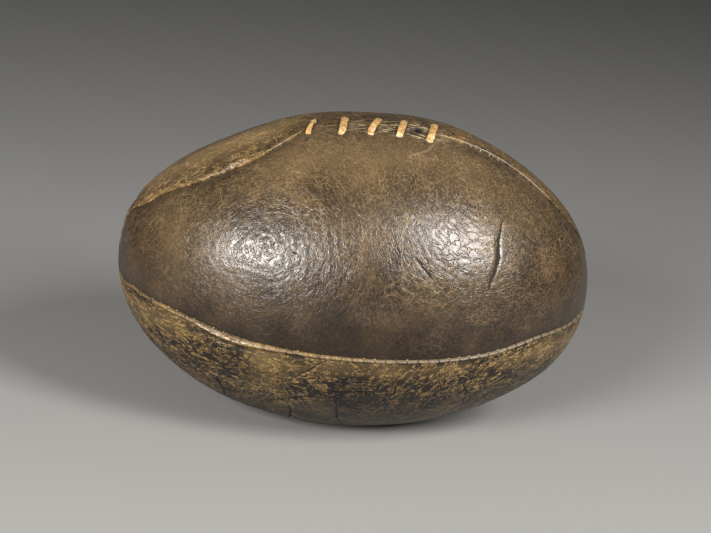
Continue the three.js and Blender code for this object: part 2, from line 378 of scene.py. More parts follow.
def finish_panel(panel, node, material):
    bpy.context.view_layer.objects.active = panel
    panel.select_set(True)
    bpy.ops.object.mode_set(mode="EDIT")
    bpy.ops.mesh.select_all(action="SELECT")
    bpy.ops.mesh.normals_make_consistent(inside=False)
    bpy.ops.object.mode_set(mode="OBJECT")
    bpy.ops.object.shade_smooth()
    bpy.ops.object.select_all(action="DESELECT")
    panel.data.materials.append(material)
    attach(panel, "root")
    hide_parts(node)


class Recipe:
    """Nodes of one material, wired by name."""

    def __init__(self, name):
        self.material = bpy.data.materials.new(name)
        self.material.use_nodes = True
        self.nodes = self.material.node_tree.nodes
        self.links = self.material.node_tree.links
        self.shader = self.nodes["Principled BSDF"]
        self.place = self.nodes.new("ShaderNodeTexCoord").outputs["Object"]

    def feed(self, value, socket):
        if isinstance(value, bpy.types.NodeSocket):
            self.links.new(value, socket)
        else:
            socket.default_value = value

    def noise(self, scale, detail, rough=0.6, warp=0.0, place=None):
        node = self.nodes.new("ShaderNodeTexNoise")
        node.inputs["Scale"].default_value = scale
        node.inputs["Detail"].default_value = detail
        node.inputs["Roughness"].default_value = rough
        node.inputs["Distortion"].default_value = warp
        self.feed(place or self.place, node.inputs["Vector"])
        return node.outputs["Fac"]

    def cells(self, scale, feature, place):
        node = self.nodes.new("ShaderNodeTexVoronoi")
        node.feature = feature
        node.inputs["Scale"].default_value = scale
        self.feed(place, node.inputs["Vector"])
        return node.outputs["Distance"]

    def stretched(self, scale):
        """Object coordinates scaled along each axis, so that marks are longer one way."""
        node = self.nodes.new("ShaderNodeMapping")
        node.inputs["Scale"].default_value = scale
        self.feed(self.place, node.inputs["Vector"])
        return node.outputs["Vector"]

    def warped(self, amount, scale):
        """Object coordinates pushed about, so that lines wander."""
        noise = self.nodes.new("ShaderNodeTexNoise")
        noise.inputs["Scale"].default_value = scale
        noise.inputs["Detail"].default_value = 2
        self.feed(self.place, noise.inputs["Vector"])
        shift = self.nodes.new("ShaderNodeVectorMath")
        shift.operation = "MULTIPLY_ADD"
        self.links.new(noise.outputs["Color"], shift.inputs[0])
        shift.inputs[1].default_value = (amount, amount, amount)
        self.feed(self.place, shift.inputs[2])
        return shift.outputs["Vector"]

    def painted(self, name):
        node = self.nodes.new("ShaderNodeAttribute")
        node.attribute_name = name
        return node.outputs["Fac"]

    def charted(self, name):
        node = self.nodes.new("ShaderNodeAttribute")
        node.attribute_name = name
        return node.outputs["Vector"]

    def split(self, vector):
        node = self.nodes.new("ShaderNodeSeparateXYZ")
        self.feed(vector, node.inputs[0])
        return node.outputs[0], node.outputs[1], node.outputs[2]

    def band(self, value, low, high, to_low=0.0, to_high=1.0):
        node = self.nodes.new("ShaderNodeMapRange")
        node.interpolation_type = "SMOOTHSTEP"
        self.feed(value, node.inputs["Value"])
        node.inputs["From Min"].default_value = low
        node.inputs["From Max"].default_value = high
        node.inputs["To Min"].default_value = to_low
        node.inputs["To Max"].default_value = to_high
        return node.outputs["Result"]

    def sum(self, kind, first, second):
        node = self.nodes.new("ShaderNodeMath")
        node.operation = kind
        self.feed(first, node.inputs[0])
        self.feed(second, node.inputs[1])
        return node.outputs[0]

    def between(self, share, first, second):
        node = self.nodes.new("ShaderNodeMix")
        node.data_type = "FLOAT"
        self.feed(share, node.inputs[0])
        self.feed(first, node.inputs[2])
        self.feed(second, node.inputs[3])
        return node.outputs[0]

    def mix(self, share, first, second, kind="MIX"):
        node = self.nodes.new("ShaderNodeMix")
        node.data_type = "RGBA"
        node.blend_type = kind
        self.feed(share, node.inputs[0])
        self.feed(first, node.inputs[6])
        self.feed(second, node.inputs[7])
        return node.outputs[2]

    def bump(self, height, distance, strength, under=None):
        node = self.nodes.new("ShaderNodeBump")
        node.inputs["Distance"].default_value = distance
        node.inputs["Strength"].default_value = strength
        self.feed(height, node.inputs["Height"])
        if under is not None:
            self.feed(under, node.inputs["Normal"])
        return node.outputs["Normal"]


def colour(red, green, blue):
    """A paint-chart colour, 0 to 255, as the linear one a shader takes."""
    parts = [c / 255 for c in (red, green, blue)]
    return [p / 12.92 if p <= 0.04045 else ((p + 0.055) / 1.055) ** 2.4 for p in parts] + [1.0]


def hide(name, deep, middle, light, scuff, lip, gloss, shine, fineness, creasing):
    """Worn hide. A mottle of pores and short strokes follows the grain, over cloudy dye. A fine crackle,
    dark creases with painted crease shade, and pale rubbed hairlines cross it. Dirt and painted shade lie
    in the seams and round the lace holes, and stains and painted shade darken it in patches. It has a
    dull polish, brighter on lips that have been rubbed."""
    r = Recipe(name)
    sides = r.charted("grain_left"), r.charted("grain_right")
    to_right = r.painted("to_right")
    pressed = r.painted("pressed")
    soot_and_shade = colour(24, 17, 11)

    def grained(scale, detail, rough, warp=0.0):
        return r.between(to_right, *[r.noise(scale, detail, rough, warp, side) for side in sides])

    def times(first, second):
        return r.sum("MULTIPLY", first, second)

    def off_half(value):
        return r.sum("ABSOLUTE", r.sum("SUBTRACT", value, 0.5), 0.0)

    strokes = grained(fineness, 3, 0.7, 0.7)
    pores = r.noise(1700, 2, 0.6, 0.5)
    ridges = off_half(grained(270, 2, 0.55, 0.9))
    tone = r.mix(r.band(grained(260, 4, 0.65), 0.38, 0.62), deep, middle)
    mottle = (
        (strokes, 0.48, 0.64, 0.8, light),
        (strokes, 0.5, 0.38, 0.65, deep),
        (pores, 0.52, 0.64, 0.7, deep),
        (pores, 0.46, 0.36, 0.5, scuff),
        (r.noise(34, 5, 0.62), 0.45, 0.7, 0.4, light),
        (r.noise(26, 5, 0.6, 0.6), 0.52, 0.7, 0.5, deep),
    )
    for pattern, none_at, full_at, most, dye in mottle:
        tone = r.mix(r.band(pattern, none_at, full_at, 0.0, most), tone, dye)
    # Dark lines along the creases, strongest where the hide is pressed: painted crease shade.
    tone = r.mix(times(r.band(ridges, 0.035, 0.0), r.sum("ADD", times(pressed, 0.9), 0.12)), tone, soot_and_shade)
    crackle = r.cells(430, "DISTANCE_TO_EDGE", r.warped(0.0035, 300))
    crackle = times(r.band(crackle, 0.11, 0.02), r.band(r.noise(120, 3), 0.42, 0.56, 0.15, 0.7))
    tone = r.mix(times(crackle, r.sum("ADD", r.painted("strokes"), 0.75)), tone, deep)
    # Dark dashes and veins along the wrinkles: partly stain, partly painted shade in the creases.
    dashes = r.band(grained(1.25 * creasing, 1, 0.5, 1.8), 0.51, 0.525)
    veins = off_half(grained(0.6 * creasing, 2, 0.5, 1.3))
    veins = times(r.band(veins, 0.05, 0.025), r.band(r.noise(90, 3), 0.38, 0.48))
    marks_and_crease_shade = times(r.sum("MAXIMUM", dashes, veins), r.painted("strokes"))
    tone = r.mix(marks_and_crease_shade, tone, soot_and_shade)
    lines = r.cells(210, "DISTANCE_TO_EDGE", r.warped(0.006, 150))
    rubbed = times(r.band(lines, 0.06, 0.0), r.band(r.noise(50, 3), 0.48, 0.62, 0.0, 0.55))
    tone = r.mix(rubbed, tone, scuff)
    long_lines = r.cells(60, "DISTANCE_TO_EDGE", r.warped(0.02, 50))
    hairlines = times(r.band(long_lines, 0.014, 0.0), r.band(r.noise(30, 3), 0.45, 0.6, 0.0, 0.55))
    tone = r.mix(hairlines, tone, scuff)
    tone = r.mix(r.painted("pale"), tone, scuff)
    # Stains, and painted shade on the lower face, between the highlights and underneath, multiplied into
    # the tone.
    tone = r.mix(r.painted("stain_and_shade"), tone, (0.2, 0.155, 0.1, 1), "MULTIPLY")

    along, from_lower, from_upper = r.split(r.charted("edges"))
    lipped = r.painted("lip")
    bead = times(r.band(from_upper, 1.7, 1.2), lipped)
    tone = r.mix(bead, tone, lip or middle)
    # Dirt and painted shade darken the leather towards each seam, most in the groove at its edge.
    nearest = r.sum("MINIMUM", from_lower, from_upper)
    tone = r.mix(times(r.band(nearest, 1.7, 0.5), r.painted("dirt_and_shade")), tone, soot_and_shade)
    tone = r.mix(times(r.band(nearest, 9.0, 0.5, 0.0, 0.4), r.painted("dirt_and_shade")), tone, soot_and_shade)
    from_stitch = off_half(r.sum("FRACT", times(along, 1 / stitch_pitch), 0.0))
    tick = times(r.band(from_stitch, 0.09, 0.045), times(r.band(nearest, 2.1, 1.5), lipped))
    tone = r.mix(tick, tone, soot_and_shade)
    fibres = r.noise(700, 3, 0.6, 0.4, r.stretched((0.22, 1, 1)))
    tone = r.mix(times(r.band(fibres, 0.5, 0.58), r.painted("frayed")), tone, colour(186, 166, 126))
    # Painted shade in and round the lace holes and the slit's gape.
    tone = r.mix(r.painted("hole_shade"), tone, soot_and_shade)

    gap, half_open = r.split(r.charted("crack"))[:2]
    jag = r.sum("ADD", times(r.noise(900, 3, 0.7), 1.6), times(r.noise(180, 2), 2.6))
    wander = r.sum("SUBTRACT", jag, 2.1)
    depth = r.sum("SUBTRACT", half_open, r.sum("ABSOLUTE", r.sum("ADD", gap, wander), 0.0))
    crack = times(r.band(depth, 0.0, 0.3), r.band(half_open, 0.0, 0.1))
    tone = r.mix(times(crack, 0.96), tone, soot_and_shade)
    r.feed(tone, r.shader.inputs["Base Color"])

    dull = r.sum("ADD", strokes, r.sum("ADD", times(crack, 2.0), r.painted("hole_shade")))
    dull = r.sum("SUBTRACT", dull, times(r.painted("polished"), 0.5))
    polish = r.band(dull, -0.2, 0.4, gloss - 0.1, gloss)
    r.feed(r.sum("ADD", polish, r.band(dull, 0.4, 1.3, 0.0, 1.0 - gloss)), r.shader.inputs["Roughness"])
    r.shader.inputs["Specular IOR Level"].default_value = shine
    fine = r.bump(pores, 0.00005, 0.4)
    grain = r.bump(strokes, 0.00006, 0.4, fine)
    cells = r.between(to_right, *[r.cells(330, "SMOOTH_F1", side) for side in sides])
    pebble = r.bump(times(cells, r.sum("ADD", pressed, 0.06)), 0.0005, 0.6, grain)
    creased = times(r.band(ridges, 0.0, 0.06), r.sum("ADD", pressed, 0.06))
    folded = r.bump(creased, 0.0002, 0.6, pebble)
    wrinkled = r.bump(marks_and_crease_shade, -0.0007, 0.8, folded)
    edge_fibres = r.bump(times(fibres, r.painted("frayed")), 0.0009, 0.7, wrinkled)
    r.feed(r.bump(crack, -0.0003, 0.4, edge_fibres), r.shader.inputs["Normal"])
    return r.material


brown_hide = hide(
    "brown_hide", colour(34, 25, 16), colour(66, 51, 32), colour(108, 86, 57), colour(132, 110, 79), None,
    gloss=0.29, shine=0.6, fineness=900, creasing=120,
)
dry_hide = hide(
    "dry_hide", colour(36, 26, 14), colour(106, 82, 48), colour(166, 132, 81), colour(178, 147, 99), None,
    gloss=0.31, shine=0.5, fineness=700, creasing=250,
)
ochre_hide = hide(
    "ochre_hide", colour(34, 25, 13), colour(126, 99, 56), colour(172, 138, 83), colour(180, 148, 94),
    colour(98, 86, 72), gloss=0.36, shine=0.4, fineness=600, creasing=205,
)

# Front panel: the broad brown face. Its grain is drawn up in fine wrinkles where it has been pressed,
# a hard crack runs down its right half, and shorter cuts lie beside it.

front_panel = cut_panel("front_panel_leather", 400, 208)
lay = Lay(front_panel, front_seam, laced_seam)
left_swirl = (-64, 23)
right_swirl = (58, 52)
grain_round(front_panel, lay, left_swirl, right_swirl, 2.2)
front_cracks = [
    ([(71, 42), (68, 31), (68.5, 25), (65, 17), (63, 12)], 0.4, 1.25),
    ([(63, 12), (60, 7.5), (52, 2.5), (44, -1)], 0.3, 0.22),
    ([(82, 57), (86, 52), (93, 48), (104, 40)], 0.25, 0.7),
    ([(82, 39), (86, 36), (92, 34.5), (101, 34)], 0.25, 0.65),
    ([(18, 23), (24, 19), (31, 15)], 0.3, 0.75),
    ([(-50, 22.3), (-46, 21.3)], 0.4, 0.5),
    ([(-84, 22), (-78, 26), (-73, 30), (-70, 35)], 0.2, 0.25),
    ([(-78, 26), (-79, 20), (-83, 15)], 0.2, 0.22),
    ([(-50, 36), (-46, 31), (-47, 25)], 0.2, 0.25),
    ([(38, 17), (43, 19.5), (47, 21)], 0.2, 0.25),
]
cuts = crack_open(front_panel, lay, front_cracks)
left_press = lay.patch(-58, 33, 25, 20)
right_press = lay.patch(42, 34, 27, 20)
net = fine_wrinkles(lay, 4.4, 11)
left_ripples = ripples_round(lay, left_swirl, 1.55, 3.3, 2.5, 23)
right_ripples = ripples_round(lay, right_swirl, 1.5, 3.6, 3.0, 27)
relief = 0.03 * net + left_press * (0.07 * net + 0.022 * left_ripples)
relief = relief + right_press * (0.08 * net + 0.03 * right_ripples)
crease_gap, crease_share = lay.near_line([(-7, 40), (-9.5, 30), (-11, 20), (-10, 8)])
fold = bell(crease_gap, 2.2) * np.sin(math.pi * crease_share)
scratch = bell(lay.near_line([(40, 79), (36, 77), (33, 71), (28, 66), (17, 61.8)])[0], 0.7)
relief = relief + cuts + 0.06 * fold
crisp_edge = (1.3, 10, 0.15, 0.8, 0, 1)
smooth_edge = (1.6, 7, 0, 0.8, 0, 1)
work_leather(front_panel, lay, relief, front_seam, laced_seam, 3, crisp_edge, smooth_edge)
paint(front_panel, "pressed", 0.06 + 0.9 * left_press + 0.9 * right_press)
# Dirt and painted shade along both seams, more along the laced seam's left part.
left_seam = past(lay.x, -42, -4)
upper_dirt_and_shade = (0.3 + 0.6 * left_seam) * bell(lay.from_upper, dirt_and_shade_reach)
paint(front_panel, "dirt_and_shade", bell(lay.from_lower, dirt_and_shade_reach) + upper_dirt_and_shade)
# Paler leather over the upper face and at the left tip.
upper_paling = 0.32 * bell(lay.from_upper - 26, 20) * bell(lay.x - 10, 70) + 0.2 * bell(lay.x + 118, 14)
paint(front_panel, "pale", 0.5 * scratch + 0.15 * fold + upper_paling + 0.12 * unevenness(lay.spots, 30, 41))
# A dark patch, and painted shade on the face between the two highlights.
patch_and_shade = lay.patch(-34, 10, 43, 5) + 0.7 * lay.patch(-15, 17, 20, 20)
# Painted shade over the lower face, darkest just above the front seam and in the middle.
low_shade = (0.55 + 0.4 * bell(lay.x, 90) + 0.2 * bell(lay.x + 40, 50)) * bell(lay.from_lower, 36)
low_shade = low_shade * (1 + 0.3 * unevenness(lay.spots, 10, 93))
round_slit = 0.35 * near_slit(lay.x, 8) * bell(lay.from_upper, 14)
ends = 0.15 * bell(lay.x + 150, 38) + 0.2 * bell(lay.x - 150, 34)
paint(front_panel, "stain_and_shade", 0.4 * patch_and_shade + low_shade + round_slit + ends)
paint(front_panel, "strokes", 0.05 + 0.2 * left_press)
finish_panel(front_panel, "front_panel", brown_hide)

# Top panel: lighter and drier, with long faint wrinkles beside the laced seam, where its edge stands
# proud and shines.

top_panel = cut_panel("top_panel_leather", 400, 200)
lay = Lay(top_panel, laced_seam, back_seam)
grain_round(top_panel, lay, (-60, 230), (60, 230), 1.6)
net = fine_wrinkles(lay, 5.0, 51)
streak_net = fine_wrinkles(lay, 3.2, 57, (2.4, 1, 1))
left_half = past(lay.x, -45, -8)
trough = left_half * bell(lay.from_lower - 17, 7)
relief = 0.12 * net + (0.05 + 0.15 * left_half * bell(lay.from_lower, 26)) * streak_net + 0.7 * trough
relief = relief + crack_open(top_panel, lay, [])
shiny_lips = bell(lay.x + 80, 10) + 0.9 * bell(lay.x + 128, 8)
proud_edge = (2.0 * shiny_lips, 4.0, 0, 0.8, 1.5 * shiny_lips, 3.0)
plain_edge = (1.4, 8, 0.7, 2.1, 0, 1)
work_leather(top_panel, lay, relief, laced_seam, back_seam, 8, proud_edge, plain_edge)
paint(top_panel, "pressed", 0.5 * left_half * bell(lay.from_lower - 8, 12) + 0.2)
paint(top_panel, "polished", shiny_lips * bell(lay.from_lower, 5))
# Dirt and painted shade along the back seam, and fainter along the laced seam right of its left half.
beyond_lace = past(lay.x, 72, 4)
lower_dirt_and_shade = (0.3 + 0.1 * beyond_lace) * (1 - left_half) * bell(lay.from_lower, dirt_and_shade_reach)
paint(top_panel, "dirt_and_shade", bell(lay.from_upper, dirt_and_shade_reach) + lower_dirt_and_shade)
# Paler leather in a band over the left half.
left_paling = 0.25 * left_half * bell(lay.from_lower - 28, 20)
paint(top_panel, "pale", left_paling + 0.1 * unevenness(lay.spots, 26, 43))
round_slit = near_slit(lay.x, 8) * bell(lay.from_lower, 30)
clouds = np.clip(0.5 * unevenness(lay.spots, 9, 87) * left_half, 0, 1)
paint(top_panel, "stain_and_shade", 0.75 * round_slit + 0.25 * bell(lay.x - 150, 60) + clouds)
paint(top_panel, "strokes", (0.35 + 0.45 * left_half) * np.clip(lay.from_lower / 4, 0, 1))
finish_panel(top_panel, "top_panel", dry_hide)

# Back panel: the same brown hide, plainly grained.

back_panel = cut_panel("back_panel_leather", 400, 200)
lay = Lay(back_panel, back_seam, under_seam)
grain_round(back_panel, lay, (-50, 205), (55, 215), 2.0)
net = fine_wrinkles(lay, 4.6, 61)
pressed = bell(lay.x - 30, 60) * bell(lay.from_lower - 70, 40)
back_cracks = [
    ([(-70, 205), (-58, 212), (-51, 222), (-49, 230)], 0.7, 0.55),
    ([(58, 225), (66, 217), (78, 214)], 0.5, 0.5),
]
relief = (0.08 + 0.12 * pressed) * net + crack_open(back_panel, lay, back_cracks)
work_leather(back_panel, lay, relief, back_seam, under_seam, 13, plain_edge, plain_edge)
paint(back_panel, "pressed", 0.7 * pressed)
# Dirt and painted shade along both of the back panel's seams.
paint(back_panel, "dirt_and_shade", 1 + 0 * lay.x)
paint(back_panel, "pale", 0.12 * unevenness(lay.spots, 30, 47))
ends = 0.4 * bell(lay.x + 150, 46) + 0.4 * bell(lay.x - 150, 40)
paint(back_panel, "stain_and_shade", ends + 0.4 * bell(lay.from_upper, 24))
paint(back_panel, "strokes", 0.3 + 0 * lay.x)
finish_panel(back_panel, "back_panel", brown_hide)

# Bottom panel: paler ochre hide with a grey, beaded upper edge, darkened in bands along its wrinkles by
# stain and painted crease shade, with a few hard creases that cross it and painted shade on its
# underside. It bears the ball's weight, so its underside lies flat.

bottom_panel = cut_panel("bottom_panel_leather", 400, 208)
lay = Lay(bottom_panel, under_seam, front_seam)
grain_round(bottom_panel, lay, (-50, -170), (150, -120), 2.0)
long_net = fine_wrinkles(lay, 3.8, 71, (3.0, 1, 1))
cross_net = fine_wrinkles(lay, 5.0, 77, (1, 1.8, 1.8))
bottom_cracks = [
    ([(-84, -43), (-82, -47.5), (-78, -54), (-74, -70)], 1.0, 0.9),
    ([(-40, -46), (-39, -50), (-37, -60), (-38, -72)], 0.8, 0.7),
    ([(-82, -47.5), (-74, -34)], 0.5, 0.6),
    ([(-58, -49), (-41, -40.5), (-25, -33.5), (-15, -31), (9, -29.5), (30, -30)], 0.6, 0.6),
    ([(-25, -16.5), (-35, -22.5), (-49, -33)], 0.7, 0.7),
    ([(-21, -25), (-16, -33), (-12, -48), (-4, -64)], 0.5, 0.7),
    ([(52, -22), (61, -33), (63, -46)], 0.5, 0.6),
]
cuts = crack_open(bottom_panel, lay, bottom_cracks)
drawn_out = lay.spots / np.array((1.9, 1, 1))
blots = np.clip(1.7 * unevenness(drawn_out, 13, 83) + 0.1 - 0.6 * (lay.x > 45), 0, 1)
relief = 0.2 * long_net + 0.16 * cross_net + cuts
shiny_lip = bell(lay.x + 80, 24)
lip_edge = (0.2 + 1.3 * shiny_lip, 5, 0.35, 1.0, 0.3 + 1.5 * shiny_lip, 0.9 + 1.7 * shiny_lip)
work_leather(bottom_panel, lay, relief, under_seam, front_seam, 18, plain_edge, lip_edge)
paint(bottom_panel, "pressed", 0.6 + 0.3 * blots)
# Dirt and painted shade along the under seam.
paint(bottom_panel, "dirt_and_shade", bell(lay.from_lower, dirt_and_shade_reach))
paint(bottom_panel, "lip", 0.3 + 0.6 * past(lay.x, 0, 14))
paint(bottom_panel, "pale", 0.12 * bell(lay.from_upper - 9, 6) + 0.15 * unevenness(lay.spots, 18, 45))
inward = np.clip(lay.from_upper / (1.5 + 4 * shiny_lip) - 0.5, 0, 1)
paint(bottom_panel, "polished", shiny_lip * bell(lay.from_upper, 4))
# Painted shade over the underside, towards the middle of the ball.
underside_shade = bell(lay.x + 2, 50) * np.clip((lay.from_upper - 12) / 26, 0, 1)
lip_stain = 0.4 * shiny_lip * bell(lay.from_upper - 4, 4)
paint(bottom_panel, "stain_and_shade", 0.4 * blots * inward + 0.75 * underside_shade + lip_stain)
paint(bottom_panel, "strokes", inward)
finish_panel(bottom_panel, "bottom_panel", ochre_hide)

# ---- Seam stitching ----------------------------------------------------------------------------
# Waxed linen thread. A thread runs along the bottom of each groove, and at every pinch in the
# leather a short stitch crosses from one panel's edge to the other's. It is dark with dirt, but the
# stitches right of the slit have been rubbed pale.

thread_radius = 0.4
thread_depth = 3.9
thread_step = 2.5
thread_sides = 6
stitch_half_width = 0.5
stitch_half_thick = 0.42
worn_from = 76
worn_down = 1.4


def waxed_thread(name, dirty, clean):
    r = Recipe(name)
    dirt_and_shade = r.noise(260, 3)
    tone = r.mix(r.band(dirt_and_shade, 0.45, 0.62), dirty, clean)
    r.feed(tone, r.shader.inputs["Base Color"])
    r.shader.inputs["Roughness"].default_value = 0.7
    r.feed(r.bump(r.noise(1500, 2), 0.0002, 0.6), r.shader.inputs["Normal"])
    return r.material


dark_thread = waxed_thread("waxed_thread", colour(46, 36, 24), colour(150, 132, 98))
pale_thread = waxed_thread("rubbed_thread", colour(104, 90, 66), colour(176, 162, 132))


def drawn_along(name, path, wide, thick, sides, facing):
    """A round bar drawn along a path. `facing` says which way its thickness points at each step."""
    path = np.asarray(path)
    steps = len(path) - 1
    bpy.ops.mesh.primitive_cylinder_add(vertices=sides, radius=1, depth=2, end_fill_type="NGON")
    piece = bpy.context.active_object
    piece.name = name
    piece.data.name = name
    bpy.ops.object.mode_set(mode="EDIT")
    bpy.ops.mesh.select_mode(type="EDGE")
    bpy.ops.mesh.select_all(action="DESELECT")
    edit = bmesh.from_edit_mesh(piece.data)
    for edge in edit.edges:
        edge.select = abs(edge.verts[0].co.z - edge.verts[1].co.z) > 1
    bmesh.update_edit_mesh(piece.data)
    bpy.ops.mesh.subdivide(number_cuts=steps - 1)
    bpy.ops.object.mode_set(mode="OBJECT")
    flat = corners_of(piece)
    row = np.clip(np.round((flat[:, 2] + 1) / 2 * steps).astype(int), 0, steps)
    along = np.gradient(path, axis=0)
    along /= np.linalg.norm(along, axis=1, keepdims=True)
    up = np.asarray(facing) - np.sum(np.asarray(facing) * along, axis=1, keepdims=True) * along
    up /= np.linalg.norm(up, axis=1, keepdims=True)
    side = np.cross(up, along)
    wide = np.broadcast_to(wide, len(path))
    thick = np.broadcast_to(thick, len(path))
    spots = path[row] + side[row] * (flat[:, :1] * wide[row, None])
    set_corners(piece, spots + up[row] * (flat[:, 1:2] * thick[row, None]))
    paint(piece, "rim", flat[:, 0] ** 4)
    bpy.ops.object.select_all(action="DESELECT")
    return piece


def outwards(path):
    """Straight out of the ball at each point of a path."""
    spots = np.asarray(path) / MM - np.array((0, 0, centre_height))
    out = spots / np.array((half_length**2, half_width**2, half_width**2))
    return out / np.linalg.norm(out, axis=1, keepdims=True)


def sew(name, node, seam, start, end, stitch_depth, material):
    """Threads one seam from start to end. The stitches are worn down where they are rubbed most."""
    lengths = np.arange(length_along(start), length_along(end), thread_step)
    x = x_at_length(lengths)
    groove = across_seam(seam, x, 0, thread_depth)
    sizes = thread_radius * MM, thread_radius * MM
    running = drawn_along(name, groove, *sizes, thread_sides, outwards(groove))
    first = math.ceil(length_along(start) / stitch_pitch)
    parts = [running]
    for number in range(first, int(length_along(end) / stitch_pitch)):
        at = x_at_length((number + 0.5) * stitch_pitch)
        across = np.linspace(-1, 1, 7)
        arch_depth = stitch_depth + worn_down * (at > worn_from) + across**2
        arch = across_seam(seam, at + 0.4 * across, 0.8 * across, arch_depth)
        sizes = stitch_half_width * MM, stitch_half_thick * MM
        parts.append(drawn_along("stitch", arch, *sizes, thread_sides, outwards(arch)))
    for part in parts:
        part.select_set(True)
    bpy.context.view_layer.objects.active = running
    bpy.ops.object.join()
    bpy.ops.object.shade_smooth()
    bpy.ops.object.select_all(action="DESELECT")
    running.data.materials.append(material)
    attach(running, "root")
    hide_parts(node)


tip = half_length - 1.2
slit_left = slit_middle - slit_half
slit_right = slit_middle + slit_half
sew("front_seam_stitches", "front_seam_thread", front_seam, -tip, tip, 1.5, dark_thread)
sew("under_seam_stitches", "under_seam_thread", under_seam, -tip, tip, 2.6, dark_thread)
sew("back_seam_stitches", "back_seam_thread", back_seam, -tip, tip, 2.6, dark_thread)
sew("laced_seam_stitches_left", "laced_seam_thread_left", laced_seam, -tip, slit_left, 3.4, dark_thread)
sew("laced_seam_stitches_right", "laced_seam_thread_right", laced_seam, slit_right, tip, 1.3, pale_thread)

# ---- Lace --------------------------------------------------------------------------------------
# One thong of pale, fuzzy leather. It crosses the slit five times through pairs of punched holes,
# each crossing lying a little differently, and runs on inside from one pair to the next.

lace_half = 2.1
lace_thick = 0.85
lace_shifts = ((0.6, -0.4), (0.9, -0.9), (-1.0, 1.0), (0.0, 0.0), (-0.1, 0.2))
lace_reaches = ((6.2, 8.6), (9.0, 9.9), (9.5, 9.5), (9.7, 9.5), (9.7, 11.4))
inner_run = 5.5
hole_run = 3.6
lace_sides = 20
lace_steps = 520


def smooth_path(points, steps):
    """A Catmull-Rom curve through points, evenly stepped."""
    points = np.asarray(points, float)
    ends = np.vstack([2 * points[0] - points[1], points, 2 * points[-1] - points[-2]])
    share = np.linspace(0, 1, 24, endpoint=False)[:, None]
    fine = []
    for a, b, c, d in zip(ends[:-3], ends[1:-2], ends[2:-1], ends[3:]):
        first = (c - a) * share
        second = (2 * a - 5 * b + 4 * c - d) * share**2
        third = (3 * b - a - 3 * c + d) * share**3
        fine.append(0.5 * (2 * b + first + second + third))
    fine = np.vstack(fine + [points[-1:]])
    run = np.concatenate([[0], np.cumsum(np.linalg.norm(np.diff(fine, axis=0), axis=1))])
    even = np.linspace(0, run[-1], steps + 1)
    return np.stack([np.interp(even, run, fine[:, k]) for k in range(3)], axis=1)


def lace_leather():
    r = Recipe("lace_leather")
    fuzz = r.noise(1100, 4, 0.7)
    tone = r.mix(r.band(r.noise(260, 3), 0.42, 0.62), colour(150, 110, 57), colour(190, 152, 92))
    tone = r.mix(r.band(r.noise(130, 3), 0.6, 0.72, 0.0, 0.7), tone, colour(108, 70, 36))
    tone = r.mix(r.band(fuzz, 0.52, 0.68, 0.0, 0.65), tone, colour(198, 166, 116))
    pale = r.sum("ADD", r.sum("MULTIPLY", r.painted("rim"), 0.4), r.sum("MULTIPLY", r.painted("end"), 0.8))
    pale = r.sum("MULTIPLY", pale, r.band(r.noise(420, 3), 0.42, 0.6))
    tone = r.mix(pale, tone, colour(204, 184, 148))
    r.feed(tone, r.shader.inputs["Base Color"])
    r.shader.inputs["Roughness"].default_value = 0.8
    r.feed(r.bump(fuzz, 0.0007, 0.9), r.shader.inputs["Normal"])
    return r.material


# The lace's route, as (x, millimetres across the slit, depth) points: up through a front hole, over the
# slit, down through a back hole, and inside to the next pair.
lace_points = [(lace_crossings[0] - hole_lean - 3, 3, inner_run)]
for number, crossing in enumerate(lace_crossings):
    front_x = crossing - hole_lean
    back_x = crossing + hole_lean
    front_shift, back_shift = lace_shifts[number]
    front, back = lace_reaches[number]
    if number:
        lace_points.append(((crossing + lace_crossings[number - 1]) / 2, 0, inner_run))
    lace_points += [
        (front_x - 1.5, 1.5 - hole_offset, inner_run),
        (front_x, -front, hole_run),
        (front_x + front_shift * 0.5, -front, 1.0),
        (front_x + front_shift + 0.4, 1.2 - front, -0.75),
        (crossing, 0, -1.35),
        (back_x + back_shift - 0.4, back - 1.2, -0.85),
        (back_x + back_shift * 0.5, back, 1.0),
        (back_x, back, hole_run),
        (back_x + 1.5, hole_offset - 1.5, inner_run),
    ]
lace_points.append((back_x + 3, -3, inner_run))
route_spots = [across_seam(laced_seam, np.float64(x), across, depth) for x, across, depth in lace_points]
route = smooth_path(route_spots, lace_steps)
rng = np.random.default_rng(5)
knots = np.arange(0, len(route) + 8, 8)
bends = np.interp(np.arange(len(route)), knots, rng.uniform(-1, 1, len(route) // 8 + 2))
wide_dir = np.array((1.0, 0, 0))
along = np.gradient(route, axis=0)
along /= np.linalg.norm(along, axis=1, keepdims=True)
flat_side = wide_dir - (along @ wide_dir)[:, None] * along
flat_side /= np.linalg.norm(flat_side, axis=1, keepdims=True)
facing = np.cross(along, flat_side)
first_twist = 0.8 * bell(route[:, 0] / MM - lace_crossings[0] - 1, 4)
facing = facing + (0.22 * bends + first_twist)[:, None] * flat_side
widths = (lace_half + 0.28 * bends) * (1 - 0.18 * bell(route[:, 0] / MM - lace_crossings[0], 6)) * MM
lace = drawn_along("lace_thong", route, widths, lace_thick * MM, lace_sides, facing)
lace.data.materials.append(lace_leather())
lace_spots = corners_of(lace)
turned = np.degrees(np.arctan2(lace_spots[:, 2] / MM - centre_height, -lace_spots[:, 1] / MM))
lace_x = lace_spots[:, 0] / MM
lace_across = np.radians(turned - laced_seam(lace_x)) * radius_at(lace_x)
paint(lace, "end", (np.abs(lace_across) - 6.2) / 3)
fray = 0.2 * unevenness(lace_spots / MM, 1.4, 91) + 0.14 * unevenness(lace_spots / MM, 0.7, 92)
set_corners(lace, lace_spots + outwards(lace_spots) * fray[:, None] * MM)
lace.select_set(True)
bpy.context.view_layer.objects.active = lace
bpy.ops.object.shade_smooth()
bpy.ops.object.select_all(action="DESELECT")
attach(lace, "root")
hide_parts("lace")

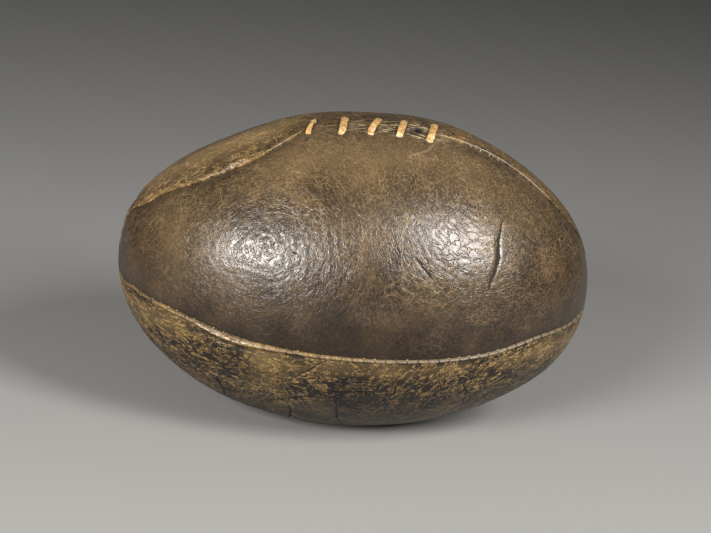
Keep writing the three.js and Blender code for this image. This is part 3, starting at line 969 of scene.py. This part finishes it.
# ---- Inner leather, bladder and tie ------------------------------------------------------------
# Behind the slit lie its two facings and the tongue, in rough undyed leather, over a red rubber
# bladder whose neck is tied with string. Little of them shows through the slit.


def rough_leather():
    r = Recipe("rough_leather")
    nap = r.noise(700, 5, 0.7)
    tone = r.mix(r.band(nap, 0.4, 0.65), colour(44, 33, 22), colour(84, 64, 42))
    r.feed(tone, r.shader.inputs["Base Color"])
    r.shader.inputs["Roughness"].default_value = 0.9
    r.feed(r.bump(nap, 0.0006, 0.7), r.shader.inputs["Normal"])
    return r.material


def bladder_rubber():
    r = Recipe("bladder_rubber")
    bloom = r.noise(60, 5, 0.65)
    tone = r.mix(r.band(bloom, 0.4, 0.7), colour(118, 52, 38), colour(158, 92, 74))
    r.feed(tone, r.shader.inputs["Base Color"])
    r.feed(r.band(bloom, 0.3, 0.7, 0.45, 0.7), r.shader.inputs["Roughness"])
    r.feed(r.bump(r.noise(500, 3), 0.0003, 0.4), r.shader.inputs["Normal"])
    return r.material


def dress(node, material):
    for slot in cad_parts[node].material_slots:
        slot.material = material


inner_material = rough_leather()
for node in ("slit_facing_front", "slit_facing_back", "tongue"):
    dress(node, inner_material)
dress("bladder", bladder_rubber())
dress("bladder_neck_tie", dark_thread)

# ---- Camera, floor and light -------------------------------------------------------------------
# The ball is seen from in front and a little above, its right end turned away, on a pale floor
# between two broad soft lights.

camera_distance = 1.011
camera_rise = math.radians(18)
camera_turn = math.radians(8.5)
camera_lean = math.radians(3.58)
camera_lens = 83.76
film_width = 36
camera_left = 0.0003
camera_up = 0.0013
ball_centre = Vector((0, 0, centre_height * MM))

rightwards = Vector((1, 0, 0))
towards = Vector((0, -math.cos(camera_rise), math.sin(camera_rise)))
upwards = Vector((0, math.sin(camera_rise), math.cos(camera_rise)))
axis_seen = Vector(
    (
        math.cos(camera_turn) * math.cos(camera_lean),
        -math.cos(camera_turn) * math.sin(camera_lean),
        -math.sin(camera_turn),
    )
)
towards_seen = Vector((-axis_seen.z, 0, axis_seen.x)).normalized()
upwards_seen = towards_seen.cross(axis_seen)
columns = []
for k in range(3):
    columns.append(rightwards * axis_seen[k] + towards * towards_seen[k] + upwards * upwards_seen[k])
camera_data = bpy.data.cameras.new("camera")
camera_data.lens = camera_lens
camera_data.sensor_width = film_width
camera = bpy.data.objects.new("camera", camera_data)
bpy.context.collection.objects.link(camera)
place = Matrix((columns[0], columns[1], columns[2])).transposed().to_4x4()
place.translation = ball_centre + columns[2] * camera_distance
place.translation = place.translation - columns[0] * camera_left + columns[1] * camera_up
camera.matrix_world = place
bpy.context.scene.camera = camera

floor_radius = 8
bpy.ops.mesh.primitive_circle_add(vertices=96, radius=floor_radius, fill_type="NGON", location=(0, 0, 0))
floor = bpy.context.active_object
floor.name = "floor"
bpy.ops.object.select_all(action="DESELECT")
paper = Recipe("pale_floor")
paper.shader.inputs["Base Color"].default_value = (0.26, 0.257, 0.25, 1)
paper.shader.inputs["Roughness"].default_value = 0.85
floor.data.materials.append(paper.material)


light_distance = 1.5
warm_white = (1, 0.98, 0.95)


def soft_light(name, turn, rise, size, power):
    """A soft box that looks at the ball. Turn 0 is in front, 90 to the right."""
    data = bpy.data.lights.new(name, "AREA")
    data.shape = "RECTANGLE"
    data.size, data.size_y = size
    data.energy = power
    data.color = warm_white
    lamp = bpy.data.objects.new(name, data)
    bpy.context.collection.objects.link(lamp)
    turn, rise = math.radians(turn), math.radians(rise)
    out = Vector((math.sin(turn) * math.cos(rise), -math.cos(turn) * math.cos(rise), math.sin(rise)))
    lamp.location = ball_centre + out * light_distance
    lamp.rotation_mode = "QUATERNION"
    lamp.rotation_quaternion = out.to_track_quat("Z", "Y")


soft_light("left_box", -37.5, 21.5, (0.56, 0.44), 35)
soft_light("right_box", 42, 35, (0.44, 0.66), 32)

room_brightness = 0.11
world = bpy.data.worlds.new("room")
world.use_nodes = True
world.node_tree.nodes["Background"].inputs["Color"].default_value = (0.9, 0.9, 0.9, 1)
world.node_tree.nodes["Background"].inputs["Strength"].default_value = room_brightness
bpy.context.scene.world = world
bpy.context.scene.view_settings.view_transform = "Standard"
